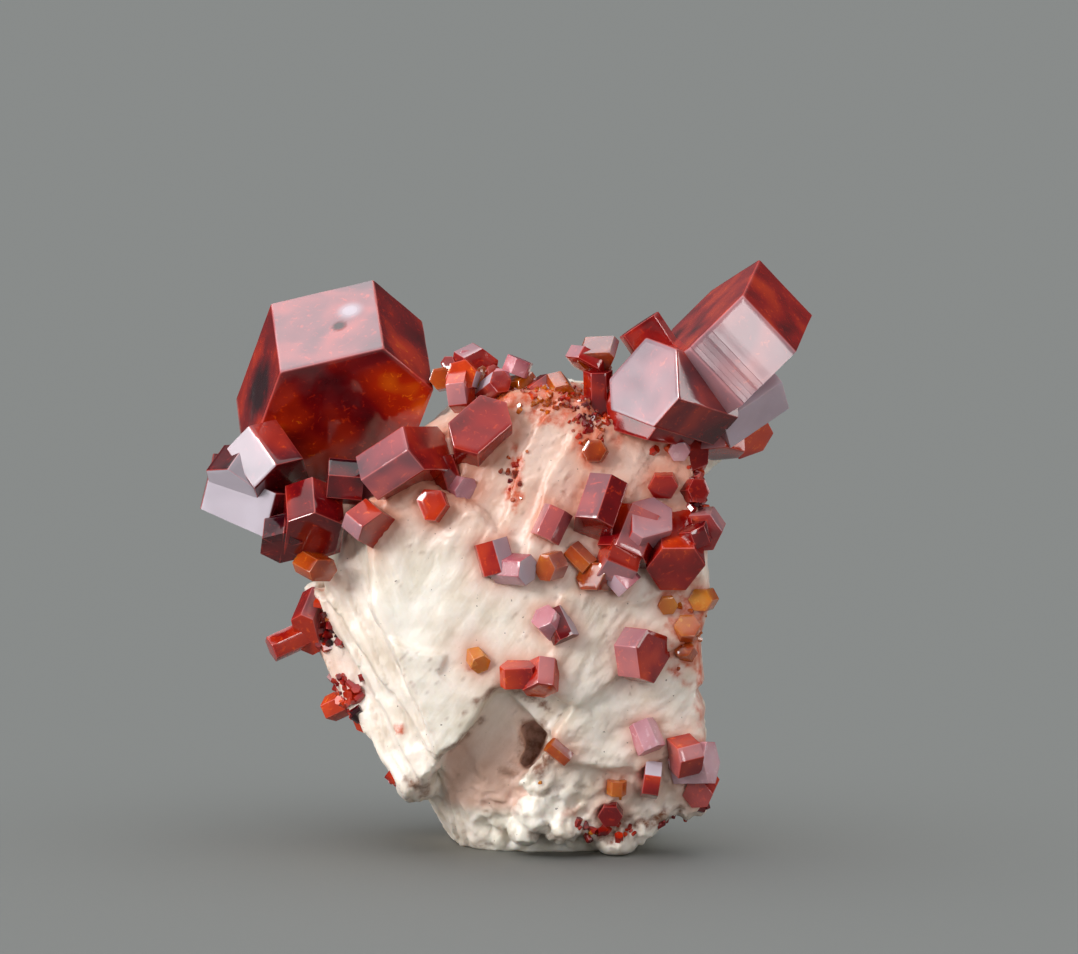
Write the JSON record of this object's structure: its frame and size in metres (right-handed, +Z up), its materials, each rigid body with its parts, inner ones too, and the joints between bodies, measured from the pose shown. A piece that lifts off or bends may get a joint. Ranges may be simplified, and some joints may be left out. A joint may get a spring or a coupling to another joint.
{
  "type": "vanadinite on matrix",
  "caption": "Mineral specimen: deep red hexagonal vanadinite crystals of mixed sizes, singly and in clusters, on a block of bladed white barite with a flat foot",
  "frame": {"origin": "middle of the outline, on the plane of the flat cut that the block stands on", "axes": "+Z is up as the specimen stands, its front with most of the crystals looks towards -Y, and the largest crystal is on the -X side"},
  "size_m": [0.045, 0.025, 0.0436],
  "materials": {
    "barite": "cream-white, waxy and slightly translucent, with bladed cleavage",
    "maroon_vanadinite": "bright resinous, dark maroon, lets light through at the edges",
    "red_vanadinite": "bright resinous, deep red, lets light through",
    "orange_vanadinite": "bright resinous, orange where thin",
    "pink_vanadinite": "bright resinous, red with smooth faces that shine lilac-white"
  },
  "bodies": {
    "root": {"barite_matrix": "barite", "giant_cluster": "maroon_vanadinite", "lilac_crystal_group": "pink_vanadinite", "red_crystal_upper": "red_vanadinite", "pink_box_crystal": "pink_vanadinite", "right_crown": "red_vanadinite", "centre_cluster": "red_vanadinite", "pinkish_bar": "pink_vanadinite", "orange_crystal_right": "orange_vanadinite", "edge_crystal": "red_vanadinite", "white_tipped_group": "pink_vanadinite", "pink_and_dark_pair": "pink_vanadinite", "yellow_crystal": "orange_vanadinite", "step_pair": "maroon_vanadinite", "low_large_crystal": "maroon_vanadinite", "lilac_bar_low": "pink_vanadinite", "low_edge_cluster": "red_vanadinite", "white_and_red_bar": "pink_vanadinite", "amber_chip": "orange_vanadinite", "foot_crystal": "maroon_vanadinite", "hollow_bar": "maroon_vanadinite", "amber_crystal_a": "orange_vanadinite", "amber_pair": "orange_vanadinite", "amber_crystal_b": "orange_vanadinite", "left_edge_pair": "maroon_vanadinite", "left_red_crystal_a": "red_vanadinite", "left_red_crystal_b": "red_vanadinite", "left_red_crystal_c": "red_vanadinite", "round_orange_crystal": "orange_vanadinite", "back_crystal_large": "maroon_vanadinite", "back_crystal_dark": "maroon_vanadinite", "back_crystal_small": "maroon_vanadinite", "back_crystal_low": "maroon_vanadinite", "right_side_crystal": "maroon_vanadinite", "right_side_crystal_low": "maroon_vanadinite", "top_crust": "orange_vanadinite"}
  },
  "joints": []
}
